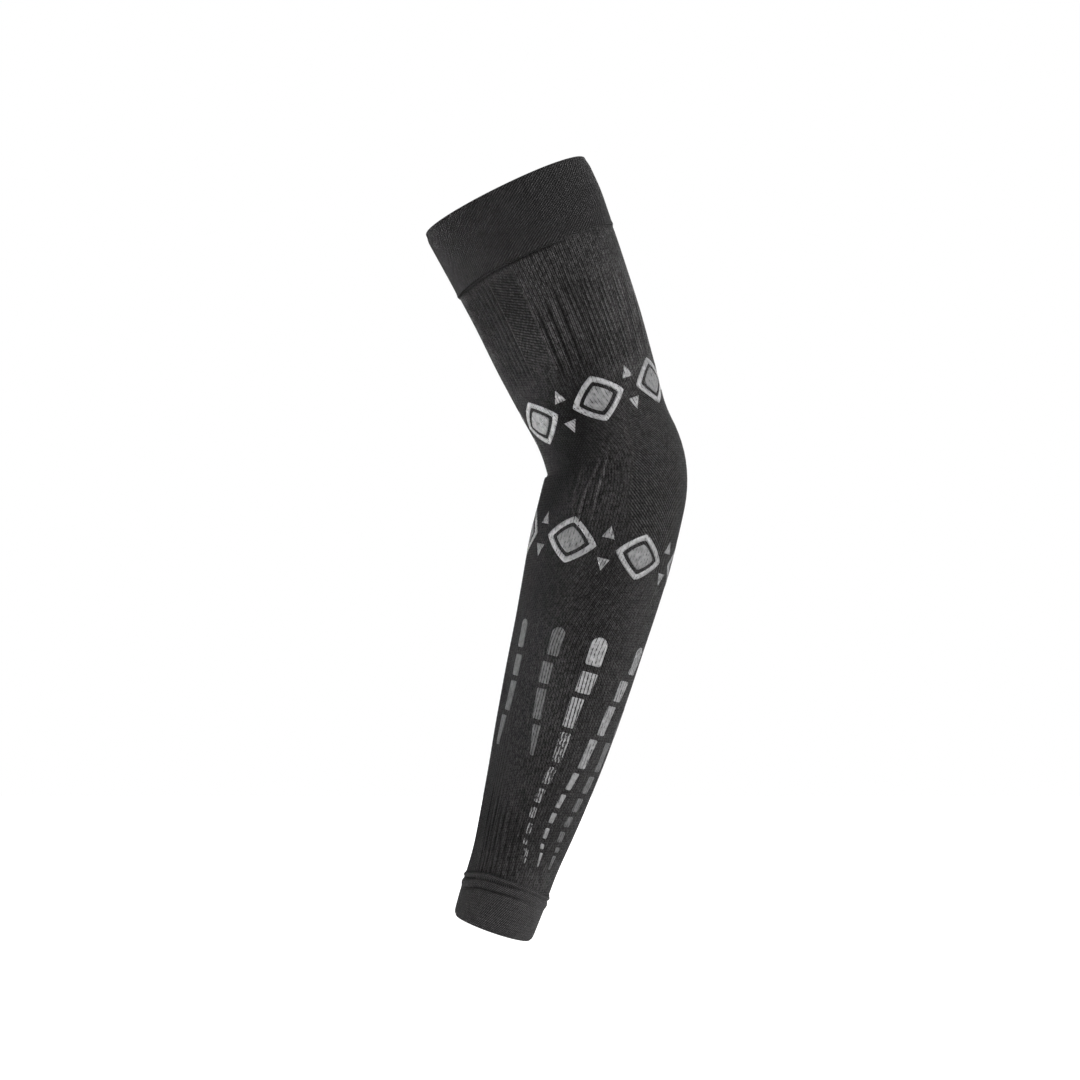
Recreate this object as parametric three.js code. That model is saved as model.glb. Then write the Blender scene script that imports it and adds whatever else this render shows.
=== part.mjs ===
// An arm compression sleeve, standing open in the shape of the lightly bent arm that it fits.
// Millimetres, +Z up. The bend lies in the XZ plane: +X is the point of the elbow, -X its inner side.
// The origin is the middle of the elbow, on the centre line that runs through both limbs of the sleeve.
import * as THREE from "three";

// Lengths along the centre line
const upperLength = 167; // middle of the elbow to the upper mouth
const foreLength = 264; // middle of the elbow to the wrist mouth
const upperCuffLength = 41.5;
const wristCuffLength = 25;
const elbowRadius = 42; // of the centre line, round the bend

// Leans of the centre line from upright, in degrees
const upperLean = 21.2;
const foreLean = 14;
const mouthCurl = 4.6; // how much more the upper mouth leans than its limb
const wristCurl = 5; // how much more the wrist mouth leans than its limb

// Outside sizes: depth is front to back in the bend's plane, width is across it
const mouthDepth = 100;
const mouthWidth = 90;
const elbowDepth = 79;
const elbowWidth = 75;
const wristDepth = 45;
const wristWidth = 55;
const elbowPoint = 0.12; // how much of the width the sides lose towards the point of the elbow

// Fabric
const knitWall = 1.3;
const cuffWall = 2.2; // the cuffs are turned over, so they are two layers thick
const cuffStep = 0.4; // how far a cuff stands proud of the knit beside it
const rollLength = 5.5; // the round roll at the top of the wrist cuff
const rollStep = 0.8; // how far the roll stands proud of the cuff
const seamGap = 0.3; // between a cuff's edge and the knit tube

// Knit structure: upright wales, of which some sink between ribs and grooves
const waleCount = 144;
const walesPerFacet = 3; // wales of the outside over one facet of the inside
const ribDepth = 0.55;
const ribFade = 9; // length over which a rib runs out at its ends
const upperSway = 20; // degrees that the wales at the sides lie further forward up the arm than at the elbow
const foreSway = 27; // the same down the forearm

// Soft forms round the bend
const foldDepth = 1.1;
const foldFade = 0.4; // share of a fold's length over which each of its ends runs out
const creaseDepth = 1.6; // across the inner side of the elbow
const creaseReach = 7; // along the centre line
const creaseFrom = 110; // degrees round from the elbow's point, where the crease begins
const creaseFull = 165; // degrees, where it has its whole depth

// How finely the round forms are worked out
const centreSteps = 240;
const upperCuffFacets = 60;
const wristCuffFacets = 48;
const edgeSteps = 4; // of a cuff's half round edge

// Stations of each limb. at: share of the limb's length from the elbow. curl: share of the limb's curl.
// depth, width: share of the way from the elbow's size to the mouth's. point: share of elbowPoint.
const upperStations = [
  { at: 0.0, curl: 0.0, depth: 0.0, width: 0.0, point: 1.0 },
  { at: 0.15, curl: 0.0, depth: -0.2, width: 0.02, point: 0.7 },
  { at: 0.3, curl: 0.0, depth: 0.09, width: 0.18, point: 0.35 },
  { at: 0.45, curl: 0.05, depth: 0.35, width: 0.42, point: 0.15 },
  { at: 0.6, curl: 0.25, depth: 0.54, width: 0.66, point: 0.0 },
  { at: 0.75, curl: 0.6, depth: 0.75, width: 0.85, point: 0.0 },
  { at: 1.0, curl: 1.0, depth: 1.0, width: 1.0, point: 0.0 },
];
const foreStations = [
  { at: 0.08, curl: 0.0, depth: -0.055, width: -0.15, point: 0.8 },
  { at: 0.17, curl: 0.0, depth: -0.04, width: -0.27, point: 0.4 },
  { at: 0.28, curl: 0.0, depth: 0.055, width: -0.26, point: 0.1 },
  { at: 0.37, curl: 0.04, depth: 0.165, width: -0.12, point: 0.0 },
  { at: 0.5, curl: 0.2, depth: 0.31, width: 0.13, point: 0.0 },
  { at: 0.59, curl: 0.35, depth: 0.42, width: 0.33, point: 0.0 },
  { at: 0.68, curl: 0.5, depth: 0.585, width: 0.55, point: 0.0 },
  { at: 0.77, curl: 0.65, depth: 0.745, width: 0.75, point: 0.0 },
  { at: 0.85, curl: 0.8, depth: 0.88, width: 0.9, point: 0.0 },
  { at: 0.91, curl: 0.9, depth: 0.925, width: 0.96, point: 0.0 },
  { at: 1.0, curl: 1.0, depth: 1.0, width: 1.0, point: 0.0 },
];

// Soft folds beside the bend, on both sides. top, foot: share of elbowRadius above and below the elbow's
// middle. turnTop, turnFoot: degrees round from the elbow's point. depth: share of foldDepth.
const folds = [
  { top: 0.5, foot: -0.65, turnTop: 98, turnFoot: 128, reach: 5, depth: 1.0 },
  { top: 0.35, foot: -1.1, turnTop: 90, turnFoot: 113, reach: 4.5, depth: 0.8 },
  { top: 0.1, foot: -1.4, turnTop: 84, turnFoot: 100, reach: 4.5, depth: 0.6 },
];

// Where the sway grows, as shares of the limb's length. from: where it begins. full: where it is whole.
const swayReach = {
  upper: { from: 0.03, full: 0.28 },
  fore: { from: 0.15, full: 0.4 },
};

// Zones of ribs and grooves, the same on both sides. near, far: degrees round from the elbow's point,
// counted by the wales before they sway.
// every: the wales from one sunk wale to the next. top, foot: share of the limb's length, where the limb
// is "upper" or "fore". depth: share of ribDepth.
const ribZones = [
  { limb: "upper", near: 12, far: 60, every: 2, top: 0.65, foot: 0.24, depth: 1.0 },
  { limb: "upper", near: 63, far: 92, every: 4, top: 0.69, foot: 0.22, depth: 1.4 },
  { limb: "upper", near: 111, far: 153, every: 2, top: 0.74, foot: 0.33, depth: 1.0 },
  { limb: "fore", near: 66, far: 122, every: 3, top: 0.71, foot: 0.93, depth: 1.0 },
];

// Where the knit tube's rings lie, as shares of the tube's part of each limb
const upperRings = [0, 0.035, 0.09, 0.16, 0.25, 0.36, 0.5, 0.64, 0.78, 0.9, 0.97, 1];
const foreRings = [1, 0.97, 0.9, 0.8, 0.7, 0.6, 0.5, 0.4, 0.3, 0.22, 0.15, 0.09, 0.04];

const degrees = Math.PI / 180;
const smooth = (from, to, value) => THREE.MathUtils.smoothstep(value, from, to);

const bendAngle = (upperLean + foreLean) * degrees;
const bendLength = elbowRadius * bendAngle;

// The stations of both limbs in millimetres, from the wrist mouth up: run is the way along the centre
// line from the elbow, upwards positive.
function sleeveStations() {
  const row = (station, length, curl, depth, width) => ({
    run: station.at * length,
    curl: station.curl * curl,
    depth: THREE.MathUtils.lerp(elbowDepth, depth, station.depth),
    width: THREE.MathUtils.lerp(elbowWidth, width, station.width),
    point: station.point * elbowPoint,
  });
  const fore = foreStations.map((s) => row(s, -foreLength, -wristCurl, wristDepth, wristWidth));
  const upper = upperStations.map((s) => row(s, upperLength, mouthCurl, mouthDepth, mouthWidth));
  return [...fore.reverse(), ...upper];
}

const stations = sleeveStations();
const columns = ["curl", "depth", "width", "point"];
const stationCurve = new THREE.CubicInterpolant(
  stations.map((s) => s.run),
  stations.flatMap((s) => columns.map((name) => s[name])),
  columns.length,
);

function sizesAt(run) {
  const [curl, depth, width, point] = stationCurve.evaluate(run);
  return { curl, depth, width, point };
}

// The centre line's lean from upright, in radians: an arc round the elbow, then each limb's own curl
function leanAt(run) {
  const share = THREE.MathUtils.clamp(run / bendLength + 0.5, 0, 1);
  return share * bendAngle + (sizesAt(run).curl - foreLean) * degrees;
}

function centreAt(run) {
  const step = run / centreSteps;
  const place = new THREE.Vector3();
  for (let i = 0; i < centreSteps; i++) {
    const lean = leanAt((i + 0.5) * step);
    place.x -= Math.sin(lean) * step;
    place.z += Math.cos(lean) * step;
  }
  return place;
}

// One section of the sleeve, across the centre line. Its point(turn, out) is the place at an angle turn
// round from the elbow's point towards +Y, moved out from the outside by out.
function sectionAt(run) {
  const centre = centreAt(run);
  const lean = leanAt(run);
  const back = new THREE.Vector3(Math.cos(lean), 0, Math.sin(lean));
  const { depth, width, point } = sizesAt(run);
  const plan = (turn) =>
    new THREE.Vector2(
      (depth / 2) * Math.cos(turn),
      (width / 2) * Math.sin(turn) * (1 - point * Math.cos(turn)),
    );
  return (turn, out) => {
    const small = 0.001;
    const along = plan(turn + small).sub(plan(turn - small)).normalize();
    const at = plan(turn).add(new THREE.Vector2(along.y, -along.x).multiplyScalar(out));
    return centre.clone().addScaledVector(back, at.x).add(new THREE.Vector3(0, at.y, 0));
  };
}

// Degrees round from the elbow's point, the same on both sides
const sideAngle = (turn) => Math.abs(THREE.MathUtils.euclideanModulo(turn / degrees + 180, 360) - 180);

const bell = (distance, reach) => Math.exp(-((distance / reach) ** 2));

// How far the whole wall is moved out or in by the folds and by the crease inside the elbow
function foldAt(run, turn) {
  const angle = sideAngle(turn);
  const crease = creaseDepth * bell(run, creaseReach) * smooth(creaseFrom, creaseFull, angle);
  const dips = folds.map(({ top, foot, turnTop, turnFoot, reach, depth }) => {
    const share = (run / elbowRadius - foot) / (top - foot);
    const middle = THREE.MathUtils.lerp(turnFoot, turnTop, share);
    const ends = smooth(0, foldFade, share) * smooth(0, foldFade, 1 - share);
    return depth * foldDepth * ends * bell(angle - middle, reach);
  });
  return -crease - dips.reduce((sum, dip) => sum + dip, 0);
}

const tubeTop = upperLength - upperCuffLength - seamGap;
const tubeFoot = foreLength - wristCuffLength - seamGap;

// Where a wale lies, as the angle round from the elbow's point. The wales of both sides draw together at
// the point of the elbow and sway forward up and down the limbs.
function waleTurn(run, wale) {
  const share = (limb, length) => smooth(limb.from * length, limb.full * length, Math.abs(run));
  const upper = run > 0 ? upperSway * share(swayReach.upper, upperLength) : 0;
  const fore = run < 0 ? foreSway * share(swayReach.fore, foreLength) : 0;
  const turn = (wale / waleCount) * 2 * Math.PI;
  return turn + (upper + fore) * degrees * Math.sin(turn);
}

// How far a wale sinks below the ribs beside it
function ribAt(run, wale) {
  const side = Math.min(wale, waleCount - wale);
  const angle = (side / waleCount) * 360;
  const sinks = ribZones.map(({ limb, near, far, every, top, foot, depth }) => {
    const length = limb === "upper" ? upperLength : -foreLength;
    const inside = angle > near && angle < far && side % every === 1;
    const ends = smooth(0, ribFade, run - foot * length) * smooth(0, ribFade, top * length - run);
    return inside ? depth * ribDepth * ends : 0;
  });
  return -Math.max(...sinks);
}

// Triangles of the strip between two rings of points, the first ring below the second
function bandFaces(lower, upper, count) {
  const faces = [];
  for (let i = 0; i < count; i++) {
    const next = (i + 1) % count;
    faces.push(lower + i, lower + next, upper + next, lower + i, upper + next, upper + i);
  }
  return faces;
}

// Triangles that close an end of the tube, from its outside ring to the coarser inside ring
function endFaces(outer, inner, facing) {
  const faces = [];
  const facets = waleCount / walesPerFacet;
  const half = Math.floor(walesPerFacet / 2);
  for (let i = 0; i < facets; i++) {
    const near = inner + i;
    const far = inner + ((i + 1) % facets);
    for (let k = 0; k < walesPerFacet; k++) {
      const here = outer + i * walesPerFacet + k;
      const next = outer + ((i * walesPerFacet + k + 1) % waleCount);
      const tip = k <= half ? near : far;
      faces.push(...(facing > 0 ? [here, next, tip] : [next, here, tip]));
      if (k === half) faces.push(...(facing > 0 ? [next, far, near] : [far, next, near]));
    }
  }
  return faces;
}

function meshOf(name, points, faces, material) {
  const geometry = new THREE.BufferGeometry();
  geometry.setAttribute("position", new THREE.Float32BufferAttribute(points, 3));
  geometry.setIndex(faces);
  geometry.computeVertexNormals();
  const mesh = new THREE.Mesh(geometry, material);
  mesh.name = name;
  return mesh;
}

// The knit tube: ribbed outside, plain inside, open at both ends
function knitTube(material) {
  const runs = [...foreRings.map((share) => -share * tubeFoot), ...upperRings.map((s) => s * tubeTop)];
  const facets = waleCount / walesPerFacet;
  const points = [];
  const faces = [];
  runs.forEach((run) => {
    const section = sectionAt(run);
    for (let wale = 0; wale < waleCount; wale++) {
      const turn = waleTurn(run, wale);
      points.push(...section(turn, foldAt(run, turn) + ribAt(run, wale)).toArray());
    }
    for (let facet = 0; facet < facets; facet++) {
      const turn = waleTurn(run, facet * walesPerFacet);
      points.push(...section(turn, foldAt(run, turn) - knitWall).toArray());
    }
  });
  const ringSize = waleCount + facets;
  for (let r = 0; r + 1 < runs.length; r++) {
    const here = r * ringSize;
    const next = here + ringSize;
    faces.push(...bandFaces(here, next, waleCount));
    faces.push(...bandFaces(next + waleCount, here + waleCount, facets));
  }
  const last = (runs.length - 1) * ringSize;
  faces.push(...endFaces(0, waleCount, -1));
  faces.push(...endFaces(last, last + waleCount, 1));
  return meshOf("knit_tube", points, faces, material);
}

// A cuff: a closed profile of the wall, carried round the sleeve. Each profile row has a run along the
// centre line and how far it lies out from the sleeve's outside.
function cuff(name, profile, facets, material) {
  const points = [];
  const faces = [];
  profile.forEach(({ run, out }) => {
    const section = sectionAt(run);
    for (let i = 0; i < facets; i++) points.push(...section((i / facets) * 2 * Math.PI, out).toArray());
  });
  profile.forEach((_, r) => {
    faces.push(...bandFaces(r * facets, ((r + 1) % profile.length) * facets, facets));
  });
  return meshOf(name, points, faces, material);
}

// A half round turned edge, from the outside of the wall to its inside. towards: 1 upwards, -1 down.
function turnedEdge(run, towards, outside) {
  const radius = cuffWall / 2;
  const rows = [];
  for (let i = 0; i <= edgeSteps; i++) {
    const angle = (i / edgeSteps) * Math.PI;
    rows.push({
      run: run - towards * radius * (1 - Math.sin(angle)),
      out: outside - radius * (1 - Math.cos(angle)),
    });
  }
  return rows;
}

function upperCuff(material) {
  const foot = upperLength - upperCuffLength;
  const lip = cuffWall / 4;
  const profile = [
    { run: foot, out: cuffStep - cuffWall + lip },
    { run: foot, out: cuffStep - lip },
    { run: foot + lip, out: cuffStep },
    { run: THREE.MathUtils.lerp(foot, upperLength, 0.5), out: cuffStep },
    ...turnedEdge(upperLength, 1, cuffStep),
    { run: THREE.MathUtils.lerp(foot, upperLength, 0.5), out: cuffStep - cuffWall },
    { run: foot + lip, out: cuffStep - cuffWall },
  ];
  return cuff("upper_cuff", profile, upperCuffFacets, material);
}

function wristCuff(material) {
  const top = -foreLength + wristCuffLength;
  const inside = cuffStep - cuffWall;
  const rollFoot = top - rollLength;
  const profile = [
    ...turnedEdge(-foreLength, -1, cuffStep).reverse(),
    { run: rollFoot - rollStep, out: cuffStep },
    { run: rollFoot + rollStep, out: cuffStep + rollStep * 0.7 },
    { run: rollFoot + rollLength / 2, out: cuffStep + rollStep },
    { run: top - rollStep, out: cuffStep + rollStep * 0.5 },
    { run: top, out: 0 },
    { run: top, out: inside },
  ];
  return cuff("wrist_cuff", profile, wristCuffFacets, material);
}

const knitBlack = new THREE.MeshStandardMaterial({ color: 0x2b2b2b, roughness: 0.9, metalness: 0 });
const cuffBlack = new THREE.MeshStandardMaterial({ color: 0x2a2a2a, roughness: 0.85, metalness: 0 });

const sleeve = new THREE.Group();
sleeve.add(knitTube(knitBlack), upperCuff(cuffBlack), wristCuff(cuffBlack));

export default sleeve;
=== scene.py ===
# %% [markdown]
# # An arm compression sleeve
# This is a knitted tube that hugs a lightly bent arm, from the upper arm to the wrist. The real one comes
# off a circular knitting machine in one piece: 144 upright columns of stitches, called wales, run from one
# end to the other, and both ends are turned over and linked down into cuffs. The shape, the ribs and the
# folds are modelled as meshes, the stitches are bump and colour in the materials, and the prints are thin
# films that lie on the knit. First the packed model is loaded as a fixed frame, which nothing here moves.

# %% Load the frame
import math
from collections import namedtuple

import bpy
import numpy as np
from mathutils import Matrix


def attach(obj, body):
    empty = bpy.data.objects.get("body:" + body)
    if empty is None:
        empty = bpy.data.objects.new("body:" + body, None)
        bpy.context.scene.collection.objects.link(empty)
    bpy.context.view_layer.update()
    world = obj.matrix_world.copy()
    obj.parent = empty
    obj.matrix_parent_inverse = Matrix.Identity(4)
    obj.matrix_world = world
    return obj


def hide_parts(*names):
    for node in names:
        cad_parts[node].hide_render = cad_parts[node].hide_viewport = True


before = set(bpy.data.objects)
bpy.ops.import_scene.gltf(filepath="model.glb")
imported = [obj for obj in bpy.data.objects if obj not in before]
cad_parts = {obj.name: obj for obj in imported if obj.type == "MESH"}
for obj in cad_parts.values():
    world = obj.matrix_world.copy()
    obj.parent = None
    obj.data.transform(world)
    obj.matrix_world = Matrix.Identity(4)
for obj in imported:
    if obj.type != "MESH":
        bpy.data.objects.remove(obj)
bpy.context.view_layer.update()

# %% [markdown]
# ## Sizes
# Everything is worked out from a few sizes of the sleeve, the same ones that its solids are made from, so
# each mesh lands where its solid is. Lengths run along the centre line from the middle of the elbow, and
# angles go round from the point of the elbow. Each row of the two tables is a section of the sleeve, and
# its values are shares: 0 is the size at the elbow and 1 the size at the mouth.

# %% Sizes of the sleeve
MM = 0.001
UPPER_LENGTH = 167 * MM
FORE_LENGTH = 264 * MM
UPPER_CUFF = 41.5 * MM
WRIST_CUFF = 25 * MM
ELBOW_RADIUS = 42 * MM
UPPER_LEAN = math.radians(21.2)
FORE_LEAN = math.radians(14)
MOUTH_CURL = math.radians(4.6)
WRIST_CURL = math.radians(5)
MOUTH_DEPTH, MOUTH_WIDTH = 100 * MM, 90 * MM
ELBOW_DEPTH, ELBOW_WIDTH = 79 * MM, 75 * MM
WRIST_DEPTH, WRIST_WIDTH = 45 * MM, 55 * MM
ELBOW_POINT = 0.12
KNIT_WALL = 1.3 * MM
CUFF_WALL = 2.2 * MM
CUFF_STEP = 0.4 * MM

Section = namedtuple("Section", "at curl depth width point")
UPPER_SECTIONS = [
    Section(0.0, 0.0, 0.0, 0.0, 1.0),
    Section(0.15, 0.0, -0.2, 0.02, 0.7),
    Section(0.3, 0.0, 0.09, 0.18, 0.35),
    Section(0.45, 0.05, 0.35, 0.42, 0.15),
    Section(0.6, 0.25, 0.54, 0.66, 0.0),
    Section(0.75, 0.6, 0.75, 0.85, 0.0),
    Section(1.0, 1.0, 1.0, 1.0, 0.0),
]
FORE_SECTIONS = [
    Section(0.08, 0.0, -0.055, -0.15, 0.8),
    Section(0.17, 0.0, -0.04, -0.27, 0.4),
    Section(0.28, 0.0, 0.055, -0.26, 0.1),
    Section(0.37, 0.04, 0.165, -0.12, 0.0),
    Section(0.5, 0.2, 0.31, 0.13, 0.0),
    Section(0.59, 0.35, 0.42, 0.33, 0.0),
    Section(0.68, 0.5, 0.585, 0.55, 0.0),
    Section(0.77, 0.65, 0.745, 0.75, 0.0),
    Section(0.85, 0.8, 0.88, 0.9, 0.0),
    Section(0.91, 0.9, 0.925, 0.96, 0.0),
    Section(1.0, 1.0, 1.0, 1.0, 0.0),
]
print("centre line:", round(UPPER_LENGTH + FORE_LENGTH, 4), "m")

# %% [markdown]
# ## The form
# A worn sleeve is a swept tube: an ellipse carried along the line through the middle of both limbs. A
# curve object with a bevel could do that, but here each stitch column has to stay on its place round the
# arm, so the surface is a function of two numbers, the run along the arm and the turn round it. The same
# function then places knit, cuffs, seams and prints, and they can't drift apart.

# %% The sections
def curve_through(places, values):
    """A smooth curve through the rows of a table, with the mean slope of its two sides at each row."""
    slopes = np.diff(values, axis=0) / np.diff(places)[:, None]
    tangents = np.vstack([slopes[:1], (slopes[:-1] + slopes[1:]) / 2, slopes[-1:]])

    def curve(place):
        row = np.clip(np.searchsorted(places, place) - 1, 0, len(places) - 2)
        length = (places[row + 1] - places[row])[:, None]
        share = (place - places[row])[:, None] / length
        rise = share * share * (3 - 2 * share)
        leave = share * (1 - share) ** 2 * length
        arrive = share * share * (share - 1) * length
        bends = tangents[row] * leave + tangents[row + 1] * arrive
        return values[row] * (1 - rise) + values[row + 1] * rise + bends

    return curve


elbow_row = np.array([0, 0, ELBOW_DEPTH, ELBOW_WIDTH, 0])
upper_row = np.array([UPPER_LENGTH, MOUTH_CURL, MOUTH_DEPTH, MOUTH_WIDTH, ELBOW_POINT])
wrist_row = np.array([-FORE_LENGTH, -WRIST_CURL, WRIST_DEPTH, WRIST_WIDTH, ELBOW_POINT])
fore_part = elbow_row + np.array(FORE_SECTIONS[::-1]) * (wrist_row - elbow_row)
upper_part = elbow_row + np.array(UPPER_SECTIONS) * (upper_row - elbow_row)
section_table = np.vstack([fore_part, upper_part])
sizes_at = curve_through(section_table[:, 0], section_table[:, 1:])
print("sections:", len(section_table))

# %% The centre line and the surface
BEND = UPPER_LEAN + FORE_LEAN
LINE_STEP = 0.1 * MM
LINE_SPARE = 5 * MM


def lean_at(run):
    share = np.clip(run / (ELBOW_RADIUS * BEND) + 0.5, 0, 1)
    return share * BEND - FORE_LEAN + sizes_at(run)[:, 0]


line_runs = np.arange(-FORE_LENGTH - LINE_SPARE, UPPER_LENGTH + LINE_SPARE, LINE_STEP)
line_leans = lean_at(line_runs)
line_x = np.cumsum(-np.sin(line_leans)) * LINE_STEP
line_z = np.cumsum(np.cos(line_leans)) * LINE_STEP
line_x -= np.interp(0, line_runs, line_x)
line_z -= np.interp(0, line_runs, line_z)


def on_sleeve(run, turn, out=0.0):
    """Points of the sleeve's outside at a run and a turn in radians, moved out from it by out."""
    run, turn, out = (np.ravel(a).astype(float) for a in np.broadcast_arrays(run, turn, out))
    lean = lean_at(run)
    _, depth, width, point = sizes_at(run).T
    back = depth / 2 * np.cos(turn)
    side = width / 2 * np.sin(turn) * (1 - point * np.cos(turn))
    back_slope = -depth / 2 * np.sin(turn)
    side_slope = width / 2 * (np.cos(turn) - point * np.cos(2 * turn))
    length = np.hypot(back_slope, side_slope)
    back = back + out * side_slope / length
    side = side - out * back_slope / length
    x = np.interp(run, line_runs, line_x) + back * np.cos(lean)
    z = np.interp(run, line_runs, line_z) + back * np.sin(lean)
    return np.stack([x, side, z], axis=1)


mouth = on_sleeve(UPPER_LENGTH, np.radians([0, 180]))
print("upper mouth, front to back:", round(float(np.linalg.norm(mouth[0] - mouth[1])), 4), "m")

# %% [markdown]
# ## The wales
# Knit shows its columns of stitches, so they have to run as they do on the arm. At the elbow they are
# drawn together towards its point, and up and down the limbs they sway forward again. A wale is therefore
# a number from 0 to 144, and one function says at which angle it lies at each run.

# %% Where each wale lies
WALES = 144
COURSE = 1.5 * MM
UPPER_SWAY = math.radians(20)
UPPER_SWAY_RUNS = (0.03 * UPPER_LENGTH, 0.28 * UPPER_LENGTH)
FORE_SWAY = math.radians(27)
FORE_SWAY_RUNS = (0.15 * FORE_LENGTH, 0.4 * FORE_LENGTH)
BEND_REACH = ELBOW_RADIUS * BEND / 2
CLOSING_STEPS, CLOSING_SHARE = 8, 0.8


def smooth(low, high, value):
    share = np.clip((value - low) / (high - low), 0, 1)
    return share * share * (3 - 2 * share)


def hump(value, start, full, falls, end):
    """0 up to start, 1 from full to where it falls, and 0 again from end."""
    return smooth(start, full, value) * (1 - smooth(falls, end, value))


def wale_turn(run, wale):
    sway = UPPER_SWAY * smooth(*UPPER_SWAY_RUNS, run) + FORE_SWAY * smooth(*FORE_SWAY_RUNS, -run)
    turn = np.asarray(wale) / WALES * math.tau
    return turn + sway * np.sin(turn)


def wale_at(run, turn):
    """The wale at a turn: the way back from wale_turn, by a few steps that close in on it."""
    wale = turn / math.tau * WALES
    for _ in range(CLOSING_STEPS):
        wale = wale - (wale_turn(run, wale) - turn) / math.tau * WALES * CLOSING_SHARE
    return wale


def course_at(run, wale):
    """The number of courses from the elbow, counted on the surface: more over its point than inside it."""
    longer = ELBOW_DEPTH / 2 / ELBOW_RADIUS * np.cos(wale / WALES * math.tau)
    return (run + longer * np.clip(run, -BEND_REACH, BEND_REACH)) / COURSE


print("wale 40 lies at", round(math.degrees(wale_turn(-0.15, 40)), 1), "degrees on the forearm")

# %% [markdown]
# ## Ribs, grooves and zones
# The knit changes round the arm. Groups of narrow ribs hold the back and the front of the upper arm, a few
# wider grooves lie between them, a panel of purl stitches breathes beside those, a flat patch covers the
# elbow, and ribs gather the wrist. A displacement texture could carry all this, but ribs that are true mesh
# catch the light at the outline too. Each zone is a row of a table, and both sides of the arm are alike. Its
# near and far ends are degrees, its top and foot are shares of the limb, and every is wales to a rib.

# %% The zones of the knit
RIB_DEPTH = 0.7 * MM
RIB_FADE = 14 * MM
LIMB_LENGTHS = {"upper": UPPER_LENGTH, "fore": -FORE_LENGTH}

Zone = namedtuple("Zone", "limb near far every top foot depth width arch shade lean")
RIB_ZONES = [
    Zone("upper", 14, 65, 1.3, top=0.66, foot=0.28, depth=0.8, width=0.38, arch=0.06, shade=0.95, lean=1.9),
    Zone("upper", 68, 87, 3, top=0.64, foot=0.3, depth=1.3, width=0.62, arch=-0.03, shade=1.0, lean=0),
    Zone("upper", 112, 153, 2, top=0.775, foot=0.33, depth=1.0, width=0.5, arch=0, shade=0.85, lean=0),
    Zone("fore", 70, 126, 3, top=0.71, foot=0.93, depth=0.8, width=0.6, arch=-0.04, shade=0.7, lean=5.5),
]
PURL_ZONE = Zone("upper", 90, 110, 1, top=0.78, foot=0.31, depth=1, width=1, arch=0, shade=0, lean=0)


def bell(distance, reach):
    return np.exp(-((distance / reach) ** 2))


def lean_of(zone, run):
    """How many wales the grooves have swung to the back of the arm, below the top of their zone."""
    length = LIMB_LENGTHS[zone.limb]
    share = np.clip((zone.top * length - run) / ((zone.top - zone.foot) * length), 0, 1)
    return zone.lean * (share if zone.limb == "upper" else share * share)


def zone_mask(zone, run, angle):
    """1 inside a zone and 0 outside, with soft ends that follow the zone's arch."""
    length = LIMB_LENGTHS[zone.limb]
    across = np.clip((angle - zone.near) / (zone.far - zone.near), 0, 1)
    top = (zone.top + zone.arch * (across - 0.5)) * length
    foot = zone.foot * length
    sides = hump(angle, zone.near - 2, zone.near + 1, zone.far - 1, zone.far + 2)
    return sides * smooth(0, RIB_FADE, run - foot) * smooth(0, RIB_FADE, top - run)


print("rib zones:", len(RIB_ZONES), "with grooves", RIB_DEPTH / MM, "mm deep")

# %% [markdown]
# ## Folds and pleats
# Where the arm bends, the fabric inside the elbow has too much length. It sinks into a shallow hollow, with
# soft folds beside it that move the whole wall, and narrow pleats where the stretched knit bunches up. Cloth
# simulation could find such folds, but not the ones in the photograph, so each is placed one by one: a fold
# by shares of the elbow's radius, and a pleat by three points, each a run in millimetres and an angle.

# %% The folds beside the elbow
FOLD_DEPTH = 1.1 * MM
FOLD_FADE = 0.4
CREASE_DEPTH = 0.6 * MM
CREASE_REACH = 7 * MM
CROOK_DIP = 1.2 * MM

Fold = namedtuple("Fold", "top foot turn_top turn_foot reach depth")
FOLDS = [
    Fold(top=0.5, foot=-0.65, turn_top=98, turn_foot=128, reach=5.0, depth=1.0),
    Fold(top=0.35, foot=-1.1, turn_top=90, turn_foot=113, reach=4.5, depth=0.8),
    Fold(top=0.1, foot=-1.4, turn_top=84, turn_foot=100, reach=4.5, depth=0.6),
]


def signed_degrees(turn):
    """The angle from the point of the elbow, from -180 to 180 degrees. The near side is below 0."""
    return np.degrees((turn + math.pi) % math.tau - math.pi)


def crook_shade(run, turn):
    """Painted shade in a band from the front of the arm into the inside bend, where the bent arm shades the
    knit, and a broader darkening over the front and inside of the forearm.
    """
    angle = np.abs(signed_degrees(turn))
    place = run / MM
    from_middle = angle - (133 - 0.72 * place)
    band = hump(place, -62, -25, 35, 90) * bell(from_middle, np.where(from_middle > 0, 42, 26))
    # A broader darkening over the front and the inside of the forearm below the elbow.
    broad_darkening = 0.33 * hump(place, -125, -85, -40, -12) * smooth(35, 80, angle)
    broad_darkening = broad_darkening * (1 + 0.55 * smooth(-100, -70, place) * smooth(95, 130, angle))
    return np.maximum(band, broad_darkening)


def fold_relief(run, turn):
    """The creases beside and inside the elbow, which move the whole wall."""
    angle = np.abs(signed_degrees(turn))
    crease = CREASE_DEPTH * bell(run, CREASE_REACH) * smooth(110, 165, angle)
    dips = 0.0
    for fold in FOLDS:
        share = (run / ELBOW_RADIUS - fold.foot) / (fold.top - fold.foot)
        middle = fold.turn_foot + (fold.turn_top - fold.turn_foot) * share
        ends = hump(share, 0, FOLD_FADE, 1 - FOLD_FADE, 1)
        dips = dips + fold.depth * FOLD_DEPTH * ends * bell(angle - middle, fold.reach)
    return -crease - dips - CROOK_DIP * crook_shade(run, turn) ** 2


print("folds:", len(FOLDS), "on each side")

# %% The pleats beside the elbow
PLEAT_WIDTH = 0.8 * MM
PLEAT_FADE = 12

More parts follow.
